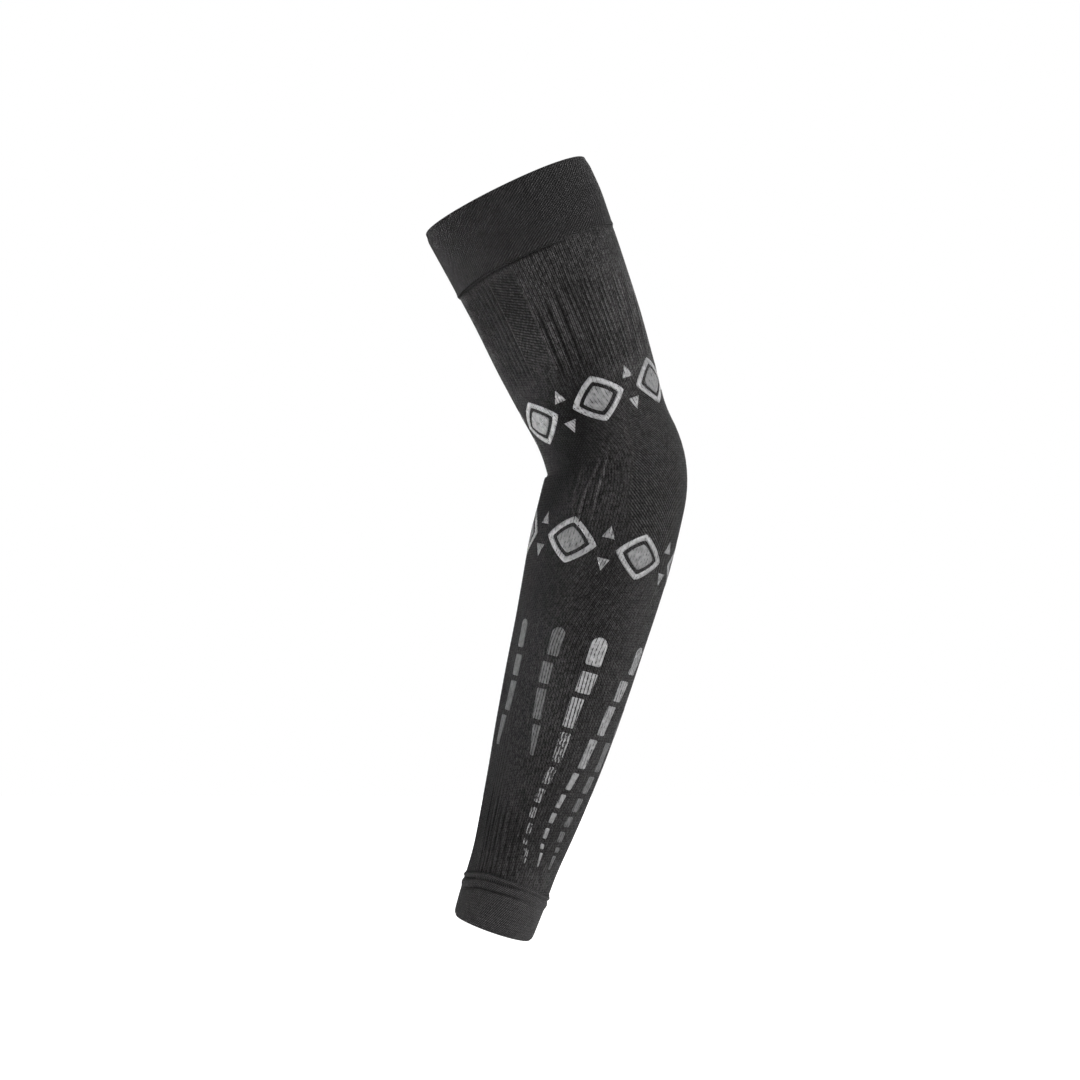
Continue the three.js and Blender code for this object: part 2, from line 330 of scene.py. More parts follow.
Pleat = namedtuple("Pleat", "top middle foot height")
PLEATS = [
    Pleat(top=(20, 93), middle=(-13, 113), foot=(-44, 110), height=0.66),
    Pleat(top=(18, 90), middle=(-7, 103.5), foot=(-36, 100.5), height=0.62),
    Pleat(top=(7, 119), middle=(-11, 122.5), foot=(-31, 121), height=0.38),
]


def pleat_relief(run, turn):
    """Narrow pleats, each a ridge between two dips along a bowed line through three points."""
    angle = np.abs(signed_degrees(turn))
    place = run / MM
    relief = 0.0
    for pleat in PLEATS:
        runs, angles = np.array([pleat.foot, pleat.middle, pleat.top]).T
        bow = np.polyfit(runs, angles, 2)
        distance = (angle - np.polyval(bow, place)) * math.radians(1) * ELBOW_DEPTH / 2 / PLEAT_WIDTH
        ends = hump(place, runs[0], runs[0] + PLEAT_FADE, runs[2] - PLEAT_FADE, runs[2])
        profile = bell(distance, 1.0) - 0.6 * bell(distance - 2.0, 1.0) - 0.7 * bell(distance + 2.0, 1.0)
        relief = relief + pleat.height * MM * ends * profile
    return relief


print("pleats:", len(PLEATS), "on each side")

# %% [markdown]
# ## The relief of the knit
# The cuffs pull the knit in along their lips, and neither lip is level: both climb from the front of the arm
# to its sides. Then one function adds up every zone, fold and lip at a place. It says how far out the knit
# lies there, and it also gives the values that the material needs, so that colour and shape agree.

# %% The lips of the cuffs
SEAM_DIP = 0.45 * MM
WRIST_CLIMB = 5 * MM
UPPER_CLIMB_FRONT = 0.6 * MM
UPPER_CLIMB_SIDE = 2.2 * MM


def wrist_lip(turn):
    """The run of the wrist cuff's lip, which climbs from the front of the arm to its sides."""
    angle = np.abs(signed_degrees(turn))
    climb = WRIST_CLIMB * (1 - smooth(110, 178, angle)) * (0.35 + 0.65 * smooth(5, 75, angle))
    return -FORE_LENGTH + WRIST_CUFF + climb


def upper_climb(turn):
    """How far the upper cuff's lip and the end of the tube climb."""
    angle = np.abs(signed_degrees(turn))
    return UPPER_CLIMB_FRONT + UPPER_CLIMB_SIDE * (1 - smooth(115, 170, angle))


def seam_shade(run, turn):
    """1 in the narrow neck under the edge of a cuff, and 0 away from it."""
    upper = bell(run - (UPPER_LENGTH - UPPER_CUFF + upper_climb(turn) - 1.3 * MM), 1.1 * MM)
    wrist = bell(run - wrist_lip(turn) - 0.7 * MM, 1.0 * MM)
    near = 0.2 + 0.8 * hump(signed_degrees(turn), -178, -160, -95, -55)
    return np.maximum(upper, 0.5 * wrist) * near


print("the wrist cuff's lip climbs", round(float(wrist_lip(2.0) - wrist_lip(math.pi)) / MM, 1), "mm")

# %% Where the knit is narrow, where light is painted on it, and where it is paler
# Strengths of the painted light up the upper arm and over its back, and of the paler band above the wrist.
UPPER_PAINTED_LIGHT, BACK_PAINTED_LIGHT, WRIST_PALENESS = 0.35, 0.9, 0.6


def wale_width(run, wale):
    """The width of one wale. Below about a millimetre every second wale sinks back."""
    _, depth, width, _ = sizes_at(np.ravel(run).astype(float)).T
    girth = (math.pi * (depth + width) / 2).reshape(np.shape(run))
    return girth * (wale_turn(run, wale + 0.5) - wale_turn(run, wale - 0.5)) / math.tau


def painted_light_and_paleness_at(run, angle):
    """Painted light up the upper arm and over the back of the arm, where the light falls, and a paler band
    above the wrist.
    """
    place = run / MM
    back = (1 - smooth(30, 75, angle)) * hump(place, 35, 60, 95, 115)
    wrist = 1 - smooth(-231, -210, place)
    limb = smooth(45, 85, place) * (1 - 1.1 * smooth(88, 108, place))
    return UPPER_PAINTED_LIGHT * limb + BACK_PAINTED_LIGHT * back + WRIST_PALENESS * wrist


narrowest = float(wale_width(np.array([-FORE_LENGTH]), 0.0)[0])
print("a wale at the back of the wrist is", round(narrowest / MM, 2), "mm wide")

# %% The knit and its values
WALE_RELIEF = 0.11 * MM
PAIR_RELIEF = 0.12 * MM
CLOSED_WALE = 1.0 * MM
OPEN_WALE = 1.35 * MM
PURL_DEPTH = 0.22 * MM
PURL_SHADE = 0.2
PATCH_RISE = 0.18 * MM
PATCH_MIDDLE, PATCH_HALF, PATCH_ANGLE = -8 * MM, 50 * MM, 84
SOFT_RELIEF = 0.1 * MM
COVERED_DEPTH = 1.15 * MM
# A pleat's dips get painted shade and its crests painted light, in full at these sizes.
PLEAT_SHADE_DEPTH = 0.8 * MM
PLEAT_HIGHLIGHT_HEIGHT = 0.24 * MM

# groove and crook carry painted shade.
Knit = namedtuple("Knit", "out groove purl patch crook stretch narrow")


def knit_relief(run, wale):
    """How far the outside lies out, and how much there is of each thing that changes the knit's colour."""
    side = np.minimum(wale % WALES, WALES - wale % WALES)
    angle = side / WALES * 360
    turn = wale_turn(run, wale)
    groove = np.zeros(np.broadcast(run, wale).shape)
    shade = groove
    for zone in RIB_ZONES:
        leaned = side + lean_of(zone, run)
        distance = np.abs((leaned - 1 + zone.every / 2) % zone.every - zone.every / 2)
        here = zone_mask(zone, run, leaned / WALES * 360) * bell(distance, zone.width)
        groove = np.maximum(groove, zone.depth * here)
        shade = np.maximum(shade, zone.shade * here)
    purl = zone_mask(PURL_ZONE, run, angle)
    patch = 1 - smooth(0.9, 1.0, np.hypot((run - PATCH_MIDDLE) / PATCH_HALF, angle / PATCH_ANGLE))
    narrow = 1 - smooth(CLOSED_WALE, OPEN_WALE, wale_width(run, wale))
    single = WALE_RELIEF * (1 - narrow) * np.cos(math.tau * side)
    pairs = PAIR_RELIEF * narrow * np.cos(math.pi * side)
    wales = (single + pairs) * (1 - patch) * (1 - purl)
    soft = SOFT_RELIEF * (np.sin(run / (11 * MM) + 2 * turn) + np.sin(run / (17 * MM) - 3 * turn))
    shade = np.maximum(shade, PURL_SHADE * purl)
    purl = purl * smooth(45 * MM, 85 * MM, run)
    seams = seam_shade(run, turn)
    pleats = pleat_relief(run, turn)
    out = fold_relief(run, turn) + pleats + wales + soft
    out = out - RIB_DEPTH * groove - PURL_DEPTH * purl + PATCH_RISE * patch - SEAM_DIP * seams
    covered = 1 - smooth(-1.3 * MM, -0.3 * MM, run - wrist_lip(turn))
    out = out * (1 - covered) - COVERED_DEPTH * covered
    # The shade values are painted shade: darker rib grooves, a darker neck under each cuff's edge and darker
    # pleat dips, with a slight darkening of the purl panel. They become the groove values.
    shade = np.maximum(np.maximum(shade, seams), np.clip(-pleats / PLEAT_SHADE_DEPTH, 0, 1))
    # Painted light up the upper arm, over its back and on the pleats' crests, and a paler band above the
    # wrist.
    stretch = np.clip(painted_light_and_paleness_at(run, angle) + pleats / PLEAT_HIGHLIGHT_HEIGHT, 0, 1.5)
    return Knit(out, shade, purl, patch, crook_shade(run, turn), stretch, narrow)


sample = knit_relief(np.array([0.08]), np.array([9.0]))
print("a rib's groove at the back of the arm lies", round(float(-sample.out[0]) / MM, 2), "mm deep")

# %% [markdown]
# ## Meshes from grids
# Each piece is one closed skin: rings of points joined by quads. Building the arrays in numpy and handing
# them to the mesh in one go keeps a hundred thousand faces quick. One helper joins the rings, another makes
# the object with two UV maps, of which one counts stitches and the other lays the piece out flat for baking,
# and a third makes bands that close on themselves both ways, such as a cuff or a thread.

# %% Mesh helpers
KNIT_UV = "stitches"
BAKE_UV = "OFBake"


def ring_quads(first, rings, columns, closed=False):
    """Quads between rings of points, each ring closed round the arm, and the last joined to the first."""
    ring = np.arange(rings if closed else rings - 1)[:, None]
    column = np.arange(columns)[None, :]
    after = (column + 1) % columns
    lower, upper = ring * columns, (ring + 1) % rings * columns
    quads = np.stack([lower + column, lower + after, upper + after, upper + column], axis=-1)
    return quads.reshape(-1, 4) + first


def unwrapped(values, period):
    """Values at the corners of faces, lifted by a period where a face crosses from the end to the start."""
    crosses = np.ptp(values, axis=1, keepdims=True) > period / 2
    return np.where(crosses & (values < period / 2), values + period, values)


def add_mesh(name, points, faces, stitches, flat=None):
    """An object of shaded smooth faces. The two maps give two values to each corner, face by face."""
    mesh = bpy.data.meshes.new(name)
    mesh.from_pydata(points.tolist(), [], faces)
    mesh.validate()
    mesh.uv_layers.new(name=KNIT_UV).data.foreach_set("uv", np.ravel(stitches))
    if flat is not None:
        mesh.uv_layers.new(name=BAKE_UV).data.foreach_set("uv", np.ravel(flat))
    mesh.shade_smooth()
    piece = bpy.data.objects.new(name, mesh)
    bpy.context.scene.collection.objects.link(piece)
    return piece


def add_band(name, points, wales, places, whole, stitch_size, flat_height):
    """A band closed both ways: a ring of points at each place, and in each ring a point at each wale."""
    quads = ring_quads(0, len(places), len(wales), closed=True)
    wale = unwrapped(np.tile(wales, len(places))[quads], WALES)
    place = unwrapped(np.repeat(places, len(wales))[quads], whole)
    stitches = np.stack([wale, place], axis=-1) * stitch_size
    flat = np.stack([wale / WALES * 0.97, place / whole * flat_height], axis=-1) + 0.01
    return add_mesh(name, points, quads.tolist(), stitches, flat)


def set_values(piece, name, values):
    layer = piece.data.attributes.new(name, "FLOAT", "POINT")
    layer.data.foreach_set("value", np.ravel(values).astype(np.float32))


def triangles(piece):
    return sum(len(face.vertices) - 2 for face in piece.data.polygons)


print("three rings of four points make", len(ring_quads(0, 3, 4)), "quads")

# %% [markdown]
# ## The knit tube
# The outside has four columns of faces to each wale, which is just enough to round a rib, and a ring every
# two or three millimetres. The inside of a sleeve is smooth under the hand, so it gets a coarser grid one
# wall further in, and the two are joined at both ends. Cloth simulation has nothing to do here, since the
# arm stretches the fabric and gives it its form.

# %% The rings of the tube
COLUMNS_PER_WALE = 4
OUTER_COLUMNS = WALES * COLUMNS_PER_WALE
INNER_COLUMNS = 96
OUTER_RINGS = 150
INNER_RINGS = 76
SEAM_GAP = 0.05 * MM
CLIMB_REACH = 16 * MM
FOOT_STEPS = (0, 0.9, 1.7, 2.5, 3.2, 3.9, 4.6, 5.3, 6.1, 7.2)
TOP_STEPS = (5.0, 3.9, 3.2, 2.7, 2.3, 1.9, 1.5, 1.1, 0.6, 0)

tube_foot = -FORE_LENGTH + WRIST_CUFF + SEAM_GAP
tube_top = UPPER_LENGTH - UPPER_CUFF - SEAM_GAP


def ring_runs():
    """The runs of the outer rings, close together beside the seams."""
    foot = [tube_foot + step * MM for step in FOOT_STEPS]
    top = [tube_top - step * MM for step in TOP_STEPS]
    middle = np.linspace(foot[-1], top[0], OUTER_RINGS - len(foot) - len(top) + 2)[1:-1]
    return np.concatenate([foot, middle, top])


def climbed(runs, wales):
    """The runs of every point of the rings, which climb with the upper cuff's lip near their upper end."""
    share = smooth(tube_top - CLIMB_REACH, tube_top, runs)
    return runs + share * upper_climb(wale_turn(runs, wales))


def end_triangles(outer, inner, up):
    """Triangles between an end's outer ring and its coarser inner ring."""
    share = OUTER_COLUMNS // INNER_COLUMNS
    faces = []
    for i in range(INNER_COLUMNS):
        near, far = inner + i, inner + (i + 1) % INNER_COLUMNS
        for k in range(share):
            here = outer + i * share + k
            after = outer + (i * share + k + 1) % OUTER_COLUMNS
            tip = near if k <= share // 2 else far
            faces.append((here, after, tip) if up else (after, here, tip))
            if k == share // 2:
                faces.append((after, far, near) if up else (far, after, near))
    return np.array(faces)


print("outer rings:", len(ring_runs()), "of", OUTER_COLUMNS, "points")

# %% Make the knit tube
def make_knit_tube():
    wales = (np.arange(OUTER_COLUMNS) / COLUMNS_PER_WALE)[None, :]
    runs = climbed(ring_runs()[:, None], wales)
    knit = knit_relief(runs, wales)
    outer = on_sleeve(runs, wale_turn(runs, wales), knit.out)

    inner_wales = (np.arange(INNER_COLUMNS) / INNER_COLUMNS * WALES)[None, :]
    inner_runs = climbed(np.linspace(tube_foot, tube_top, INNER_RINGS)[:, None], inner_wales)
    inner_turns = wale_turn(inner_runs, inner_wales)
    inner = on_sleeve(inner_runs, inner_turns, fold_relief(inner_runs, inner_turns) - KNIT_WALL)

    first_inner = len(outer)
    last_outer = (OUTER_RINGS - 1) * OUTER_COLUMNS
    last_inner = first_inner + (INNER_RINGS - 1) * INNER_COLUMNS
    outside = ring_quads(0, OUTER_RINGS, OUTER_COLUMNS)
    inside = ring_quads(first_inner, INNER_RINGS, INNER_COLUMNS)[:, ::-1]
    ends = [end_triangles(0, first_inner, up=False), end_triangles(last_outer, last_inner, up=True)]
    kinds = [np.vstack([outside, inside]), np.vstack(ends)]

    wale_of = np.concatenate([np.tile(wales[0], OUTER_RINGS), np.tile(inner_wales[0], INNER_RINGS)])
    wale = np.concatenate([unwrapped(wale_of[faces], WALES).ravel() for faces in kinds])
    corners = np.concatenate([faces.ravel() for faces in kinds])
    run = np.concatenate([runs.ravel(), inner_runs.ravel()])[corners]
    across = wale / WALES * 0.97
    across = np.where(corners >= first_inner, 0.67 + across * 0.32, 0.01 + across * 0.64)
    along = (run - run.min()) / (run.max() - run.min()) * 0.97 + 0.01
    stitches = np.stack([wale, course_at(run, wale)], axis=1)
    flat = np.stack([across, along], axis=1)
    faces = kinds[0].tolist() + kinds[1].tolist()
    piece = add_mesh("knit_tube_fabric", np.vstack([outer, inner]), faces, stitches, flat)
    # groove and crook carry painted shade to the material.
    for name in ("groove", "purl", "patch", "crook", "stretch", "narrow"):
        within = np.full(len(inner), 1.0 if name == "purl" else 0.0)
        set_values(piece, name, np.concatenate([getattr(knit, name).ravel(), within]))
    return piece


knit_tube = make_knit_tube()
print("knit tube:", triangles(knit_tube), "triangles")

# %% [markdown]
# ## The cuffs
# A cuff is the end of the tube turned over on itself and linked down, so it is two layers thick and its free
# edge is round. Each one is a profile of the wall, a list of runs and how far out each lies, that is carried
# round the arm. The upper cuff's lower edge stands off the knit on the near side, as it does on the real
# sleeve. The wrist cuff ends in a fat roll with a crease that comes and goes along it.

# %% Cuff helpers
CUFF_COLUMNS = 288
EDGE_STEPS = 9
FINE_WALES = 1.25
LIP_HANGS = 0.3 * MM

cuff_inside = CUFF_STEP - CUFF_WALL


def spread(low, high, count):
    return [low + (high - low) * i / (count - 1) for i in range(count)]


def round_edge(run, towards, outside):
    """A half round from the outside to the inside of the wall, at the free end of a cuff."""
    radius = CUFF_WALL / 2
    middle = outside - radius
    angles = spread(0, math.pi, EDGE_STEPS)
    return [(run + towards * radius * (math.sin(a) - 1), middle + radius * math.cos(a)) for a in angles]


def make_cuff(name, profile, form):
    """A closed band. form gives how high each point rises, how far out it moves and how much painted shade
    it gets.
    """
    turns = np.arange(CUFF_COLUMNS) / CUFF_COLUMNS * math.tau
    wales = np.arange(CUFF_COLUMNS) / CUFF_COLUMNS * WALES
    run, out = np.array(profile).T[:, :, None]
    rise, relief, crease = form(run, out, turns)
    points = on_sleeve(run + rise, turns, out + relief)
    path = np.cumsum([0] + [math.dist(row, after) for row, after in zip(profile, profile[1:])])
    whole = path[-1] + math.dist(profile[-1], profile[0])
    piece = add_band(name, points, wales, path, whole, (FINE_WALES, FINE_WALES / COURSE), 0.97)
    set_values(piece, "crease", crease)
    return piece


edge = round_edge(0, 1, 0)
print("a round edge is", round((edge[0][1] - edge[-1][1]) / MM, 1), "mm thick")

# %% Make the upper cuff
LIFT = 0.8 * MM
BULGE = 0.7 * MM
SOFT_BULGES = 0.16 * MM
LIP_WANDER = 0.2 * MM
PAINTED_SHADE_FOOT = -0.4 * MM
SHOULDER_ROUND = 0.75 * MM
UPPER_LIP = [
    (0.1, -1.5), (0, -0.2), (-0.1, 0.16), (-0.3, 0.2),
    (-0.5, 0.45), (-0.2, 0.7), (0.4, 0.7), (1.3, 0.55),
]

upper_foot = UPPER_LENGTH - UPPER_CUFF


def upper_form(run, out, turn):
    """The lip stands off the knit on the near side, climbs to the sides and wanders along the seam."""
    above = run - upper_foot
    near = hump(signed_degrees(turn), -178, -150, -95, -55)
    wander = LIP_WANDER * (np.sin(5 * turn + 0.6) + 0.6 * np.sin(11 * turn))
    rise = wander * (1 - smooth(0, 6 * MM, above)) + upper_climb(turn) * (1 - smooth(4 * MM, 32 * MM, above))
    lift = LIFT * near * (1 - smooth(0, 12 * MM, above)) * (out > LIP_HANGS)
    soft = np.sin(3 * turn + 1) * np.sin(run / (9 * MM)) + np.sin(5 * turn - run / (14 * MM))
    bulge = BULGE * bell(run - UPPER_LENGTH + 19 * MM, 13 * MM) * np.clip(np.cos(turn), 0, 1) ** 2
    relief = lift + SOFT_BULGES * soft * smooth(0, 4.8 * MM, above) + bulge
    # The last value is painted shade on the underside of the lip, on the near side.
    return rise, relief, (above < PAINTED_SHADE_FOOT) * near


def shoulder_round(run):
    """How far the upper cuff draws in over its last millimetres."""
    return SHOULDER_ROUND * max(0.0, (run - UPPER_LENGTH + 6.5 * MM) / (5 * MM)) ** 2


profile = [(upper_foot + above * MM, out * MM) for above, out in UPPER_LIP]
for run in spread(upper_foot + 2.5 * MM, UPPER_LENGTH - 1.6 * MM, 22):
    profile.append((run, CUFF_STEP - shoulder_round(run)))
profile += round_edge(UPPER_LENGTH + 0.8 * MM, 1, CUFF_STEP - 0.85 * MM)
for run in spread(UPPER_LENGTH - 2.5 * MM, upper_foot + 0.5 * MM, 9):
    profile.append((run, cuff_inside - shoulder_round(run)))
upper_cuff = make_cuff("upper_cuff_fabric", profile, upper_form)
print("upper cuff:", triangles(upper_cuff), "triangles")

# %% Make the wrist cuff
MOUTH_ROUND = 0.8 * MM
ROLL_DOWNS = [
    9.1, 8.7, 8.3, 7.9, 7.5, 7.0, 6.3, 5.5, 4.8, 4.2,
    3.8, 3.4, 3.1, 2.8, 2.5, 2.1, 1.7, 1.2, 0.7, 0.3,
]
WRIST_LIP = [(0.05, 0.3), (0, -0.3), (0.1, -1.5)]

wrist_top = -FORE_LENGTH + WRIST_CUFF


def wrist_form(run, out, turn):
    """The lip climbs to the sides, with a crease under it and another one under the roll."""
    down = (wrist_top - run) / MM
    degrees = signed_degrees(turn)
    wander = 0.5 * np.sin(2 * turn + 0.4) + 0.2 * np.sin(9 * turn)
    top = (0.15 + 0.85 * hump(degrees, -172, -155, -95, -62)) * bell(down - 2.9 - 0.4 * wander, 0.7)
    low = (0.1 + 0.9 * hump(degrees, -165, -140, -80, -50)) * bell(down - 8.2 - wander, 0.75)
    top, low = top * (out > 0), low * (out > 0)
    soft = 0.15 * (np.sin(4 * turn + down / 8) + np.sin(7 * turn - down / 12)) * smooth(2, 9, down)
    rise = (wrist_lip(turn) - wrist_top) * (1 - smooth(8, 23, down)) * (out > -0.25 * MM)
    relief = (soft - 1.25 * top - 0.7 * low) * MM * (out >= 0)
    # The last value is painted shade in the two creases.
    return rise, relief, np.maximum(top, 0.75 * low)


def mouth_round(run):
    """How far the wrist cuff draws in over its last millimetres."""
    return MOUTH_ROUND * max(0.0, (-FORE_LENGTH + 4.2 * MM - run) / (3.7 * MM)) ** 2


profile = round_edge(-FORE_LENGTH, -1, CUFF_STEP - MOUTH_ROUND)[::-1]
for run in spread(-FORE_LENGTH + 1.6 * MM, wrist_top - 9.5 * MM, 11):
    profile.append((run, CUFF_STEP - mouth_round(run)))
for down in ROLL_DOWNS:
    roll = 0.7 * bell(down - 5.4, 1.9) + 0.75 * bell(down - 1.3, 0.95)
    profile.append((wrist_top - down * MM, CUFF_STEP + roll * MM))
profile += [(wrist_top - down * MM, out * MM) for down, out in WRIST_LIP]
for run in spread(wrist_top - 0.6 * MM, -FORE_LENGTH + 2.5 * MM, 9):
    profile.append((run, cuff_inside - mouth_round(run)))
wrist_cuff = make_cuff("wrist_cuff_fabric", profile, wrist_form)
print("wrist cuff:", triangles(wrist_cuff), "triangles")

# %% [markdown]
# ## The linking seams
# The cuffs are closed with a chain of thread, one loop to each wale. From a step away it reads as a fine
# dark line. A curve with a bevel would give the thread its thickness, but a tube of six points that swings
# over and under the seam is lighter and can follow the climb of the lips.

# %% Make the linking seams
THREAD = 0.2 * MM
THREAD_SIDES = 6
THREAD_STEPS = 6
THREAD_SWAY = 0.28 * MM
THREAD_DIP = 0.14 * MM
THREAD_OUT = 0.05 * MM
THREAD_TWIST = 4


def unit(vectors):
    return vectors / np.linalg.norm(vectors, axis=1, keepdims=True)


def make_seam(name, run_at):
    """A thread round the sleeve that dips into the fabric once for each wale."""
    count = WALES * THREAD_STEPS
    wale = np.arange(count) / THREAD_STEPS
    turn = wale_turn(run_at(0.0), wale)
    run = run_at(turn) + THREAD_SWAY * np.sin(wale * math.tau)
    out = THREAD_OUT + THREAD_DIP * np.cos(wale * math.tau)
    middle = on_sleeve(run, turn, out)
    over = unit(on_sleeve(run, turn, out + THREAD) - middle)
    along = unit(np.roll(middle, -1, axis=0) - np.roll(middle, 1, axis=0))
    side = unit(np.cross(over, along))
    angles = np.arange(THREAD_SIDES) / THREAD_SIDES * math.tau
    rings = [middle + THREAD * (math.cos(a) * over + math.sin(a) * side) for a in angles]
    stitch_size = (THREAD_TWIST, 1 / THREAD_SIDES)
    return add_band(name, np.vstack(rings), wale, np.arange(THREAD_SIDES), THREAD_SIDES, stitch_size, 0.2)


upper_seam = make_seam("upper_seam_thread", lambda turn: upper_foot - 0.8 * MM + upper_climb(turn))
wrist_seam = make_seam("wrist_seam_thread", lambda turn: wrist_lip(turn) + 0.35 * MM)
print("seams:", triangles(upper_seam), "triangles each")

# %% [markdown]
# ## The prints
# The marks are silicone pressed onto the knit, a film about a seventh of a millimetre thick that keeps the
# stitches readable through it. A texture could paint them, but a film has an edge that catches the light, so
# each mark is a thin closed solid that follows the relief of the knit. Its cover of ink is a value on its
# points, because the real ink is worn thin in some rows, and so is its tone, which on the dashes is partly
# painted light and shade.

# %% The film helpers
FILM = 0.14 * MM
FILM_ROOT = 0.06 * MM
TURN_STEP = 0.01

Mark = namedtuple("Mark", "points faces stitches ink tone")


def film_mark(run, turn, out, faces, ink, tone):
    """One closed solid of film that follows the knit."""
    wale = wale_at(run, turn)
    points = on_sleeve(run, turn, knit_relief(run, wale).out + out)
    return Mark(points, faces, np.stack([wale, course_at(run, wale)], axis=1), ink, tone)


def make_film(name, marks):
    """Join marks into one mesh, whose points carry their mark's ink and tone."""
    counts = [len(mark.points) for mark in marks]
    firsts = np.cumsum([0] + counts[:-1])
    faces = np.vstack([mark.faces + first for mark, first in zip(marks, firsts)])
    stitches = np.vstack([mark.stitches for mark in marks])
    piece = add_mesh(name, np.vstack([mark.points for mark in marks]), faces.tolist(), stitches[faces])
    set_values(piece, "ink", np.repeat([mark.ink for mark in marks], counts))
    set_values(piece, "tone", np.repeat([mark.tone for mark in marks], counts))
    return piece


def girth_step(run, turn):
    """How many metres of the surface one radian is, at a place on the sleeve."""
    pair = on_sleeve(run, np.array([turn - TURN_STEP, turn + TURN_STEP]))
    return float(np.linalg.norm(pair[1] - pair[0])) / (2 * TURN_STEP)


print("one radian at the elbow's point is", round(girth_step(0.0, 0.0), 4), "m")

# %% [markdown]
# ## The dashes of the forearm
# The forearm has columns of dashes that swing round with the wales and get smaller towards the wrist. They
# share their rows, and both sides of the arm have the same four columns, with a fifth one along the back.
# Each column is a row of a table: its first row of dashes, then an angle, a width in millimetres and a cover
# of ink for each dash. A dash is a small grid of points, so its corners can be round.

# %% The shape of a dash
FILM_STEP = 0.55 * MM
DASH_CORNER = 0.6 * MM
DASH_LEAST = 0.08 * MM


def dash_mark(top, foot, turns, widths, ink, tone, round_top, pointed):
    """A dash between two runs. turns and widths give its values at the foot and at the top."""
    length = top - foot
    rows = max(6, round(length / FILM_STEP))
    share = np.linspace(0, 1, rows)
    if round_top:
        share = np.sin(share * math.pi / 2)
    run = foot + share * length
    half = (widths[0] + (widths[1] - widths[0]) * share) / 2
    small = np.minimum(half * 0.3, DASH_CORNER)
    corner = half if round_top else small
    from_top = np.clip((top - run) / corner, 0, 1)
    from_foot = np.clip((run - foot) / small, 0, 1)
    half = half - corner * (1 - np.sqrt(1 - (1 - from_top) ** 2)) - 0.25 * half * (1 - from_foot) ** 2
    if pointed:
        half = half * (0.5 + 0.5 * share)
    half = np.maximum(half, DASH_LEAST)
    middle = np.radians(turns[0] + (turns[1] - turns[0]) * share)
    radius = girth_step((top + foot) / 2, float(middle.mean()))
    across = max(5, round(max(widths) / FILM_STEP))
    place = np.linspace(-1, 1, across)
    loop = np.concatenate([place, place[::-1]])
    out = np.repeat([FILM, -FILM_ROOT], across)
    around = middle[:, None] + half[:, None] * loop[None, :] / radius
    last = (rows - 1) * 2 * across
    i = np.arange(across - 1)
    cap = np.stack([i, i + 1, 2 * across - 2 - i, 2 * across - 1 - i], axis=1)
    faces = np.vstack([ring_quads(0, rows, 2 * across), cap[:, ::-1], cap + last])
    return film_mark(np.repeat(run, 2 * across), around.ravel(), np.tile(out, rows), faces, ink, tone)


print("a dash of 16 mm has", round(16 * MM / FILM_STEP), "rows")

# %% Make the dashes
DASH_ROWS = [
    (-92, -108), (-112, -124), (-127, -144), (-147, -164), (-167, -177),
    (-180, -188), (-191, -197), (-200, -206), (-209, -212), (-214, -222),
]
Column = namedtuple("Column", "first turns widths inks tone")
# A column's tone is partly painted light and shade: the two columns on the left of the near side, where
# little light falls, are darker than the two in the middle, and the far side takes the same tones.
DASH_COLUMNS = [
    Column(0, [-147, -146, -147, -153], [5.5, 5.5, 5.5, 6.0], [1.0], 0.4),
    Column(0, [-109, -112, -111, -107], [7.5, 6.5, 5.5, 4.5], [0.55, 0.6, 0.64, 0.7], 0.42),
    Column(
        first=0,
        turns=[-72, -74, -78.5, -80, -83, -86.6, -88, -86.5, -86, -80.5],
        widths=[9.6, 9.2, 7, 5.6, 4.6, 3.8, 3.2, 3.0, 2.8, 2.4],
        inks=[0.8, 0.64, 0.54, 0.3, 0.28, 0.3, 0.3, 0.3, 0.28, 0.3],
        tone=1.3,
    ),
    Column(
        first=0,
        turns=[-22, -33, -40, -50, -56.6, -61.7, -64, -65, -64, -61],
        widths=[9.5, 8.2, 6.6, 5.6, 3.9, 3.2, 3, 2.6, 2.2, 1.8],
        inks=[0.7, 0.72, 0.85, 0.85, 0.95],
        tone=1.1,
    ),
    Column(2, [-3, -22.8, -31, -36, -40, -42, -40, -40], [7.5, 7, 6.2, 5.4, 4.8, 4.2, 3.6, 3], [0.8], 0.5),
]
SIDE_COLUMNS = 4
MOST_LEAN = 6.0
END_SHARE = 0.3


def column_dashes(column, side):
    """The dashes of a column on one side of the arm, each leaning and tapering towards its neighbours."""
    marks = []
    last = len(column.turns) - 1
    for i, (turn, width) in enumerate(zip(column.turns, column.widths)):
        top, foot = (run * MM for run in DASH_ROWS[column.first + i])
        before, after = max(i - 1, 0), min(i + 1, last)
        pitch = (column.turns[after] - column.turns[before]) / (after - before)
        lean = max(-MOST_LEAN, min(MOST_LEAN, pitch)) * END_SHARE
        taper = (column.widths[after] - column.widths[before]) / (after - before) * END_SHARE
        turns = (side * (turn + lean), side * (turn - lean))
        widths = ((width + taper) * MM, (width - taper) * MM)
        ink = column.inks[min(i, len(column.inks) - 1)]
        round_top = column.first == 0 and i == 0
        marks.append(dash_mark(top, foot, turns, widths, ink, column.tone, round_top, i == last))
    return marks


marks = []
for number, column in enumerate(DASH_COLUMNS):
    for side in (1, -1) if number < SIDE_COLUMNS else (1,):
        marks += column_dashes(column, side)
forearm_print = make_film("forearm_print", marks)
print("forearm print:", len(marks), "dashes,", triangles(forearm_print), "triangles")

# %% [markdown]
# ## The print round the elbow
# A plain geometric band goes round the arm above the elbow and another below it: nested lozenges with small
# triangles between them, the lower band half a step on from the upper one. A mark is its outline drawn in
# rings towards its middle, so its film bends evenly over the round of the elbow.

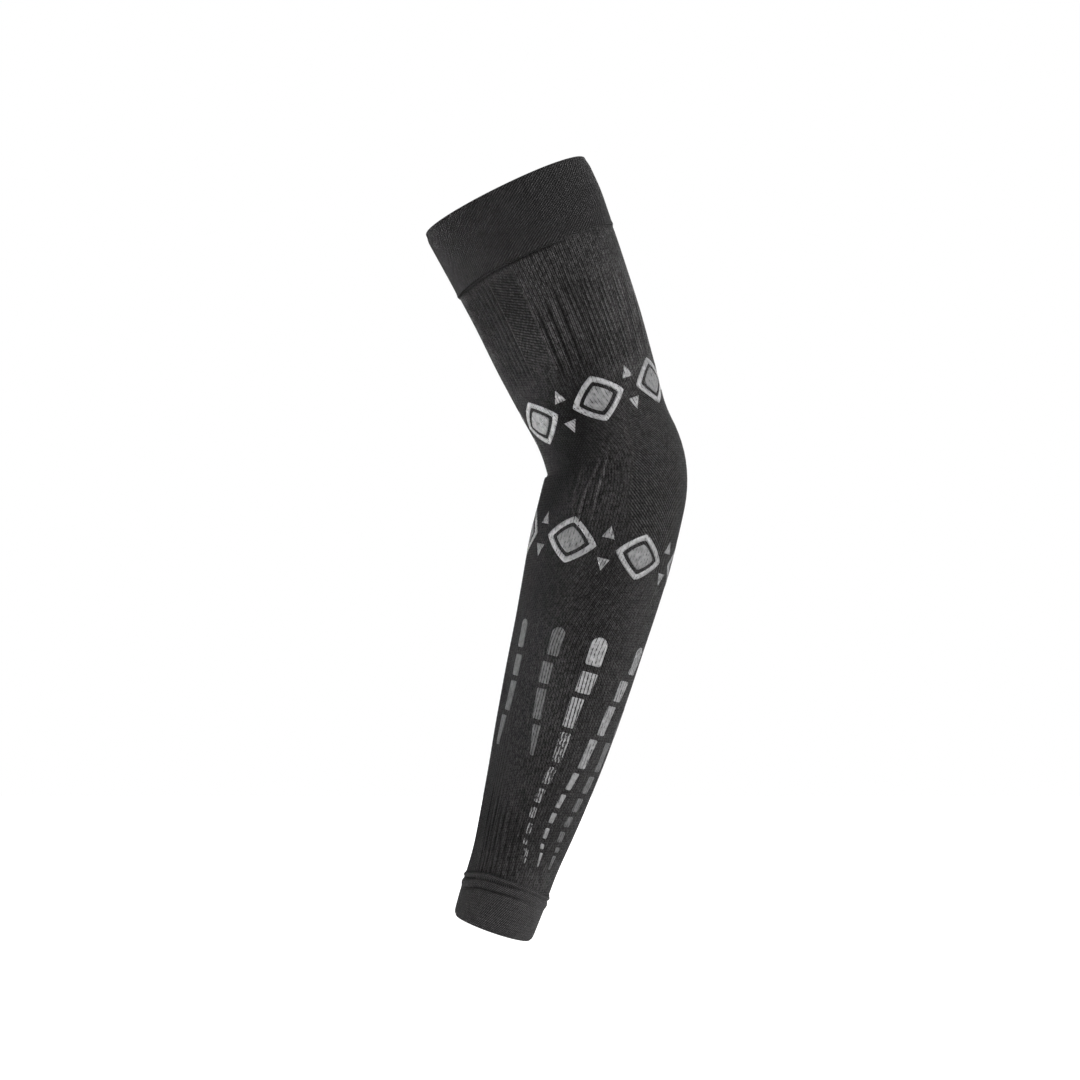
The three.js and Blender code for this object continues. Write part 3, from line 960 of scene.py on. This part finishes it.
# %% Make the lozenges
LOZENGE_STEPS = 72
LOZENGE_SHARPNESS = 1.2
LOZENGE_HALF = np.array([15.5, 13]) * MM
LOZENGES = 6
FRAME_INNER = 0.74
CORE_OUTER = 0.56
MIDDLE_HOLE = 0.02
RING_STEP = 1.1 * MM
TRIANGLE_SIZE = 4.6 * MM
TRIANGLE_OFFSET = 8.5 * MM

Band = namedtuple("Band", "run shift")
BANDS = [Band(run=40 * MM, shift=-27), Band(run=-44 * MM, shift=3)]


def lozenge_outline():
    angle = np.arange(LOZENGE_STEPS) / LOZENGE_STEPS * math.tau
    circle = np.stack([np.cos(angle), np.sin(angle)], axis=1)
    size = np.sum(np.abs(circle) ** LOZENGE_SHARPNESS, axis=1, keepdims=True) ** (1 / LOZENGE_SHARPNESS)
    return circle / size * LOZENGE_HALF


def triangle_outline(towards):
    corners = np.array([(-0.8, -0.6), (0.8, -0.6), (0.0, 0.9)]) * TRIANGLE_SIZE
    steps = np.array(spread(0, 0.875, 8))[:, None]
    outline = np.vstack([corners[i] + (corners[(i + 1) % 3] - corners[i]) * steps for i in range(3)])
    return outline if towards > 0 else outline[::-1] * (1, -1)


def flat_mark(run, turn, outline, inner, ink, tone):
    """A flat mark from its outline in to inner, a share of the outline. 0 fills it to its middle."""
    reach = float(np.linalg.norm(outline, axis=1).max()) * (1 - inner)
    rings = max(3, round(reach / RING_STEP))
    scales = np.linspace(1, max(inner, MIDDLE_HOLE), rings)
    scales = np.concatenate([scales, scales[::-1]])
    places = (scales[:, None, None] * outline[None, :, :]).reshape(-1, 2)
    out = np.repeat([FILM, -FILM_ROOT], rings * len(outline))
    faces = ring_quads(0, 2 * rings, len(outline), closed=True)
    turns = turn + places[:, 0] / girth_step(run, turn)
    return film_mark(run + places[:, 1], turns, out, faces, ink, tone)


marks = []
lozenge = lozenge_outline()
for band in BANDS:
    for i in range(LOZENGES):
        turn = math.radians(band.shift + 360 / LOZENGES * i)
        beside = turn + math.radians(180 / LOZENGES)
        marks.append(flat_mark(band.run, turn, lozenge, FRAME_INNER, ink=0.95, tone=1.15))
        marks.append(flat_mark(band.run, turn, lozenge * CORE_OUTER, 0, ink=0.93, tone=0.72))
        for towards in (1, -1):
            place = band.run + towards * TRIANGLE_OFFSET
            marks.append(flat_mark(place, beside, triangle_outline(towards), 0, ink=0.8, tone=0.95))
elbow_print = make_film("elbow_print", marks)
print("elbow print:", len(marks), "marks,", triangles(elbow_print), "triangles")

# %% [markdown]
# ## Wires between nodes
# A pattern that is worked out by nodes is a sum like any other, but a node for each step makes it long to
# read. So a wire here is a small object that stands for a node's output. Adding or multiplying two wires
# places the Math node for it, and the patterns below can be written as the formulas they are.

# %% Wires
class Wire:
    """What comes out of a node. Sums, differences and products of wires place Math nodes."""

    def __init__(self, socket):
        self.socket = socket
        self.tree = socket.id_data

    def math(self, operation, *others, clamp=False):
        given = {f"_{i + 1}": other for i, other in enumerate(others)}
        settings = {"operation": operation, "use_clamp": clamp}
        return place_in(self.tree, "ShaderNodeMath", settings, _0=self, **given)[0]

    def __add__(self, other):
        return self.math("ADD", other)

    def __sub__(self, other):
        return self.math("SUBTRACT", other)

    def __mul__(self, other):
        return self.math("MULTIPLY", other)

    def between(self, low, high):
        """0 below low, 1 above high, and smooth between them."""
        settings = {"interpolation_type": "SMOOTHSTEP"}
        return place_in(self.tree, "ShaderNodeMapRange", settings, _0=self, _1=low, _2=high)[0]


def join(value, socket):
    """Lead a wire to a socket, or set the socket to a plain value."""
    if isinstance(value, Wire):
        value.tree.links.new(value.socket, socket)
    else:
        socket.default_value = value


def place_in(tree, kind, settings=None, **sockets):
    """Place a node and return its outputs as wires. An input goes by its name, or by _0, _1 and so on."""
    node = tree.nodes.new(kind)
    for key, value in (settings or {}).items():
        setattr(node, key, value)
    for key, value in sockets.items():
        join(value, node.inputs[int(key[1:]) if key[0] == "_" else key])
    return [Wire(socket) for socket in node.outputs]


print("besides its signs, a wire has:", [name for name in vars(Wire) if name[0] != "_"])

# %% Node groups and noise
SOCKET_KINDS = {"Place": "NodeSocketVector", "Stitch": "NodeSocketVector", "Colour": "NodeSocketColor"}


def start_group(name, **inputs):
    """A new node group and its inputs as wires. Each input is given with its usual value, if it has one."""
    tree = bpy.data.node_groups.new(name, "ShaderNodeTree")
    for label, usual in inputs.items():
        kind = SOCKET_KINDS.get(label, "NodeSocketFloat")
        socket = tree.interface.new_socket(name=label, in_out="INPUT", socket_type=kind)
        if usual is not None:
            socket.default_value = usual
    return tree, {wire.socket.name: wire for wire in place_in(tree, "NodeGroupInput")}


def end_group(tree, **outputs):
    """Give a node group its outputs."""
    for label in outputs:
        kind = SOCKET_KINDS.get(label, "NodeSocketFloat")
        tree.interface.new_socket(name=label, in_out="OUTPUT", socket_type=kind)
    place_in(tree, "NodeGroupOutput", **outputs)
    return tree


def use(tree, group, **sockets):
    """Place a node group and return its outputs by name."""
    wires = place_in(tree, "ShaderNodeGroup", {"node_tree": group}, **sockets)
    return {wire.socket.name: wire for wire in wires}


def noise(tree, scale, detail, roughness=0.5):
    """Noise in the object's own space, which stays on the piece."""
    given = {"Scale": scale, "Detail": detail, "Roughness": roughness}
    where = place_in(tree, "ShaderNodeTexCoord")[3]
    return place_in(tree, "ShaderNodeTexNoise", Vector=where, **given)[0]


def scatter(stitch):
    """A chance value from 0 to 1 for each stitch."""
    return place_in(stitch.tree, "ShaderNodeTexWhiteNoise", {"noise_dimensions": "3D"}, Vector=stitch)[0]


def scaled(colour, share):
    return place_in(share.tree, "ShaderNodeVectorMath", {"operation": "SCALE"}, _0=colour, Scale=share)[0]


print("socket kinds:", sorted(SOCKET_KINDS))

# %% [markdown]
# ## The stitch patterns
# Plain knit shows a V for every stitch. Its two legs lean outwards as they rise, and the gap between wales
# is a dark line. Everything is worked out from the stitch coordinates, one unit to a wale and one to a
# course, so the pattern has its true size anywhere on the sleeve. Each pattern is a node group that puts out
# a height, and the same groups serve the tube, the cuffs and the film. A last group colours the yarn and
# paints shade and light into it.

# %% The stitches
LEG_LEAN = 0.9


def knit_stitch():
    """Plain knit: legs that lean out from the middle of each wale."""
    tree, given = start_group("knit_stitch", Place=None)
    wale, course, _ = place_in(tree, "ShaderNodeSeparateXYZ", _0=given["Place"])
    across = wale.math("FRACT") - 0.5
    side = across.math("ABSOLUTE") * 2.0
    phase = course - side * LEG_LEAN
    yarn = (phase * math.tau).math("COSINE") * 0.5 + 0.5
    offset = side - 0.46
    leg = (offset * offset * -3.2).math("ADD", 1.0, clamp=True)
    numbers = {"_0": wale.math("FLOOR"), "_1": phase.math("FLOOR"), "_2": across.math("SIGN")}
    stitch = place_in(tree, "ShaderNodeCombineXYZ", **numbers)[0]
    height = leg * (yarn * 0.4 + 0.6)
    return end_group(tree, Height=height, Gap=side.between(0.72, 1.0), Stitch=stitch, Side=side)


def purl_stitch():
    """The back of the knit: short bars like bricks, each row half a step on."""
    tree, given = start_group("purl_stitch", Place=None)
    wale, course, _ = place_in(tree, "ShaderNodeSeparateXYZ", _0=given["Place"])
    courses = wale * 0.32 + course * 0.85
    shifted = courses.math("FLOOR") * 0.5 + wale
    bar = (shifted * math.tau).math("COSINE") * 0.12 + 0.6
    up = (courses.math("FRACT") * math.pi).math("SINE")
    return end_group(tree, Height=bar * up)


def twill():
    """The denser knit of the elbow patch and the cuffs, which reads as fine slanting lines."""
    tree, given = start_group("twill", Place=None, Across=1.0, Slant=0.78)
    wale, course, _ = place_in(tree, "ShaderNodeSeparateXYZ", _0=given["Place"])
    phase = course * given["Slant"] + wale * given["Across"]
    lines = (phase * math.tau).math("SINE") * 0.38
    dots = (course * math.tau).math("SINE") * 0.08
    return end_group(tree, Height=lines + (dots + 0.45))


KNIT_STITCH = knit_stitch()
PURL_STITCH = purl_stitch()
TWILL = twill()
print("stitches:", sorted(tree.name for tree in bpy.data.node_groups))

# %% The colour of the yarn, with painted shade and light
def yarn_colour():
    """Charcoal yarn is dyed unevenly, so each stitch differs a little; painted shade darkens it, and painted
    light and the band above the wrist make it paler.
    """
    usual = {"Stitch": None, "Height": 0.5, "Depth": 0.0, "Stretch": 0.0, "Mottle": 1.0}
    tree, given = start_group("yarn_colour", Colour=(0.02, 0.02, 0.02, 1), **usual)
    cloudy = noise(tree, 38.0, 3.0, roughness=0.6)
    fuzz = noise(tree, 900.0, 2.0)
    shade = (scatter(given["Stitch"]) - 0.5) * given["Mottle"] + 1.0
    shade = shade * (cloudy * 0.5 + 0.75)
    tuft = (fuzz - 0.5) * (given["Mottle"] * 2.2)
    shade = shade * (tuft + 1.0).math("MAXIMUM", 0.1)
    # The stitches' gaps are darker and their crests lighter: partly the yarn's own dark gaps, partly painted
    # shade between the stitches.
    shade = shade * (given["Height"] * 2.7 + 0.1)
    # Painted shade where it is given: in grooves, in creases, under the cuffs' edges and inside the elbow.
    shade = shade * (given["Depth"] * -0.78).math("ADD", 1.0, clamp=True)
    # Painted light where it is given, and a paler band above the wrist.
    shade = shade * (given["Stretch"] * 0.7 + 1.0)
    return end_group(tree, Colour=scaled(given["Colour"], shade), Roughness=cloudy * 0.12 + 0.78)


YARN_COLOUR = yarn_colour()
print("dye:", YARN_COLOUR.name, "with", len(YARN_COLOUR.nodes), "nodes")

# %% [markdown]
# ## The materials
# Nylon knit is matt, with a faint gleam on the crests of the yarn. That gleam is sheen, which is set on the
# shader itself. The tube's material picks between the plain, purl and slanting patterns by values that its
# mesh carries. The cuffs use the same groups with stitches a fifth finer and the slant the other way. The
# film is smoother and a little metallic, and lets dark stitches through where its ink is thin.

# %% Material helpers
YARN = (0.0175, 0.0169, 0.0171, 1)
CUFF_YARN = (0.0125, 0.0121, 0.0123, 1)
WRIST_YARN = (0.0285, 0.0276, 0.028, 1)
THREAD_YARN = (0.009, 0.009, 0.0092, 1)
INK = (0.21, 0.21, 0.212)


def new_material(name):
    """A material with one Principled shader, its node tree and the shader's inputs."""
    material = bpy.data.materials.new(name)
    material.use_nodes = True
    tree = material.node_tree
    tree.nodes.clear()
    shader = place_in(tree, "ShaderNodeBsdfPrincipled")[0]
    place_in(tree, "ShaderNodeOutputMaterial", Surface=shader)
    return material, tree, shader.socket.node.inputs


def stitch_place(tree):
    return place_in(tree, "ShaderNodeUVMap", {"uv_map": KNIT_UV})[0]


def value_of(tree, name):
    return place_in(tree, "ShaderNodeAttribute", {"attribute_name": name})[2]


def add_bump(inputs, height, distance):
    bump = place_in(height.tree, "ShaderNodeBump", Strength=1.0, Distance=distance, Height=height)
    join(bump[0], inputs["Normal"])


def dress(inputs, colour, height, distance):
    """Lead a yarn's colour, roughness and relief to a shader."""
    join(colour["Colour"], inputs["Base Color"])
    join(colour["Roughness"], inputs["Roughness"])
    add_bump(inputs, height, distance)


def set_sheen(inputs):
    """Nylon knit hardly mirrors anything, and gleams faintly at a low angle."""
    inputs["Sheen Weight"].default_value = 0.05
    inputs["Sheen Roughness"].default_value = 0.4
    inputs["Specular IOR Level"].default_value = 0.06


print("yarn:", YARN[0], "cuff yarn:", CUFF_YARN[0], "ink:", INK[0])

# %% The knit of the tube
def knit_material():
    """The tube's knit: plain, purl or slanting, with pairs of wales where they are drawn close together."""
    material, tree, inputs = new_material("black_knit")
    place = stitch_place(tree)
    plain = use(tree, KNIT_STITCH, Place=place)
    narrow = value_of(tree, "narrow")
    wale = place_in(tree, "ShaderNodeSeparateXYZ", _0=place)[0]
    pair = (wale * math.pi).math("COSINE") * narrow * 0.28
    height = plain["Height"].math("SUBTRACT", plain["Gap"] * 0.5, clamp=True)
    height = height.math("ADD", pair, clamp=True)
    for group, share in ((PURL_STITCH, "purl"), (TWILL, "patch")):
        other = use(tree, group, Place=place)["Height"]
        height = (other - height) * value_of(tree, share) + height
    # Painted shade from the groove and crook values; painted light, and a paler band above the wrist, from
    # the next.
    shading = {
        "Depth": value_of(tree, "groove").math("MAXIMUM", value_of(tree, "crook")),
        "Stretch": value_of(tree, "stretch"),
        "Mottle": narrow * -0.4 + 0.9,
    }
    colour = use(tree, YARN_COLOUR, Colour=YARN, Stitch=plain["Stitch"], Height=height, **shading)
    dress(inputs, colour, height, 0.6 * MM)
    set_sheen(inputs)
    return material


black_knit = knit_material()
print("tube:", black_knit.name, "with", len(black_knit.node_tree.nodes), "nodes")

# %% The knit of the cuffs and the thread
CUFF_TWILL = 133 / (WALES * FINE_WALES)
CUFF_SLANT = -0.76


def cuff_material(name, yarn):
    material, tree, inputs = new_material(name)
    place = stitch_place(tree)
    plain = use(tree, KNIT_STITCH, Place=place)
    slanted = use(tree, TWILL, Place=place, Across=CUFF_TWILL, Slant=CUFF_SLANT)
    height = plain["Height"] * 0.15 + slanted["Height"] * 0.85
    # The crease values are painted shade: in the wrist cuff's creases and under the upper cuff's lip.
    shading = {"Depth": value_of(tree, "crease") * 1.05, "Mottle": 0.5}
    colour = use(tree, YARN_COLOUR, Colour=yarn, Stitch=plain["Stitch"], Height=height, **shading)
    dress(inputs, colour, height, 0.4 * MM)
    set_sheen(inputs)
    return material


def thread_material():
    material, tree, inputs = new_material("seam_thread")
    height = use(tree, TWILL, Place=stitch_place(tree))["Height"]
    dress(inputs, use(tree, YARN_COLOUR, Colour=THREAD_YARN, Height=height), height, 0.05 * MM)
    return material


upper_cuff_knit = cuff_material("cuff_knit", CUFF_YARN)
wrist_cuff_knit = cuff_material("wrist_cuff_knit", WRIST_YARN)
seam_thread = thread_material()
print("slanting lines of the cuffs to a wale:", round(CUFF_TWILL * FINE_WALES, 2))

# %% The ink
def ink_material():
    """Grey film over the yarn. Where a mark has little ink, it stays on the crests of the stitches alone."""
    material, tree, inputs = new_material("grey_print")
    plain = use(tree, KNIT_STITCH, Place=stitch_place(tree))
    patchy = noise(tree, 420.0, 3.0)
    crest = plain["Side"].between(0.35, 0.9) * -0.7 + 0.75 + plain["Height"] * 0.25
    crest = crest + (scatter(plain["Stitch"]) - 0.5) * 0.55 + (patchy - 0.5) * 0.5
    level = value_of(tree, "ink") * -1.25 + 1.2
    covered = crest.between(level - 0.08, level + 0.08)
    yarn = use(tree, YARN_COLOUR, Colour=YARN, Stitch=plain["Stitch"], Height=plain["Height"])
    pigment = scaled(INK, value_of(tree, "tone") * (patchy * 1.5 + 0.25))
    settings = {"data_type": "RGBA", "clamp_factor": True}
    mixed = place_in(tree, "ShaderNodeMix", settings, _0=covered, _6=yarn["Colour"], _7=pigment)[2]
    join(mixed, inputs["Base Color"])
    join(covered * -0.3 + 0.82, inputs["Roughness"])
    join(covered * 0.3, inputs["Metallic"])
    add_bump(inputs, plain["Height"], FILM)
    return material


grey_print = ink_material()
print("materials:", sorted(material.name for material in bpy.data.materials))

# %% [markdown]
# ## Pieces that stand for the solids
# The packed solids stay in the model for collisions. Each detailed piece takes the place of its solid, and
# the small pieces ride along on the same body.

# %% Hand the pieces over
dressed = [
    ("knit", knit_tube, black_knit),
    ("cuff", upper_cuff, upper_cuff_knit),
    ("cuff", wrist_cuff, wrist_cuff_knit),
    ("knit", upper_seam, seam_thread),
    ("knit", wrist_seam, seam_thread),
    ("print", forearm_print, grey_print),
    ("print", elbow_print, grey_print),
]
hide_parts("knit_tube")
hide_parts("upper_cuff")
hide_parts("wrist_cuff")
for slot, piece, material in dressed:
    piece.data.materials.append(material)
    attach(piece, "root")
print("pieces:", {piece.name: material.name for _, piece, material in dressed})

# %% [markdown]
# ## The studio
# The sleeve hangs in the air as if an arm held it, so the floor is plain white and far enough below that no
# shadow falls on it. The world lights the sleeve weakly from all round, and the camera sees it as white. A
# large soft lamp stands to the right in front, weaker ones fill the left and the back, and two narrow lamps
# lift the upper arm. The camera stands where the photograph was taken from.

# %% The white surroundings
WORLD_LIGHT = 0.38
FLOOR_HALF = 6.0
FLOOR_LEVEL = -0.55
WHITE = (1, 1, 1, 1)

scene = bpy.context.scene
scene.view_settings.view_transform = "Standard"

world = bpy.data.worlds.new("studio")
world.use_nodes = True
background = world.node_tree.nodes["Background"]
background.inputs["Color"].default_value = WHITE
seen = place_in(world.node_tree, "ShaderNodeLightPath")[0]
join(seen.math("MAXIMUM", WORLD_LIGHT), background.inputs["Strength"])
scene.world = world

floor_white, floor_tree, floor_inputs = new_material("floor_white")
floor_inputs["Base Color"].default_value = (0.85, 0.85, 0.85, 1)
floor_inputs["Roughness"].default_value = 1.0
floor_inputs["Emission Color"].default_value = WHITE
join(place_in(floor_tree, "ShaderNodeLightPath")[0], floor_inputs["Emission Strength"])
floor_mesh = bpy.data.meshes.new("floor")
sides = ((-1, -1), (1, -1), (1, 1), (-1, 1))
corners = [(FLOOR_HALF * x, FLOOR_HALF * y, FLOOR_LEVEL) for x, y in sides]
floor_mesh.from_pydata(corners, [], [(0, 1, 2, 3)])
floor_mesh.materials.append(floor_white)
floor = bpy.data.objects.new("floor", floor_mesh)
scene.collection.objects.link(floor)
print("floor:", FLOOR_LEVEL, "m")

# %% Lamps and camera
def lamp(name, place, target, size, power, spread=180):
    """A soft rectangular lamp that looks at a target."""
    data = bpy.data.lights.new(name, "AREA")
    data.spread = math.radians(spread)
    data.shape = "RECTANGLE"
    data.size, data.size_y = size
    data.energy = power
    made = bpy.data.objects.new(name, data)
    scene.collection.objects.link(made)
    made.location = place
    x, y, z = (target[i] - place[i] for i in range(3))
    made.rotation_euler = (math.atan2(math.hypot(x, y), -z), 0, math.atan2(y, x) - math.pi / 2)
    print("lamp:", name, power, "W")


lamp("key", (1.5, -1.0, 0.45), (0, 0, -0.05), (0.9, 1.5), 31)
lamp("fill", (-1.3, -0.5, -0.75), (0, 0, 0.05), (0.9, 1.2), 22)
lamp("back", (0.4, 1.6, 0.5), (0, 0, -0.05), (1.2, 1.2), 18)
lamp("upper_arm", (1.1, -0.9, 0.7), (-0.03, 0, 0.1), (0.5, 0.5), 0.5, spread=26)
lamp("upper_arm_edge", (-1.2, -0.1, -0.35), (-0.055, 0, 0.05), (0.5, 0.5), 1.1, spread=14)

camera_data = bpy.data.cameras.new("camera")
camera_data.lens = 98.28
camera_data.sensor_width = 36
camera = bpy.data.objects.new("camera", camera_data)
camera.location = (-0.0426, -1.65, -0.0803)
camera.rotation_euler = (math.radians(91.47), 0, 0)
scene.collection.objects.link(camera)
scene.camera = camera
print("camera looks up by", round(math.degrees(camera.rotation_euler[0]) - 90, 2), "degrees")

# %% [markdown]
# ## Sizes at the end
# The dressed sleeve has to stay the size of its solids, so both boxes are written down side by side.

# %% Compare the boxes
def plain(box):
    return [[float(value) for value in corner] for corner in box]
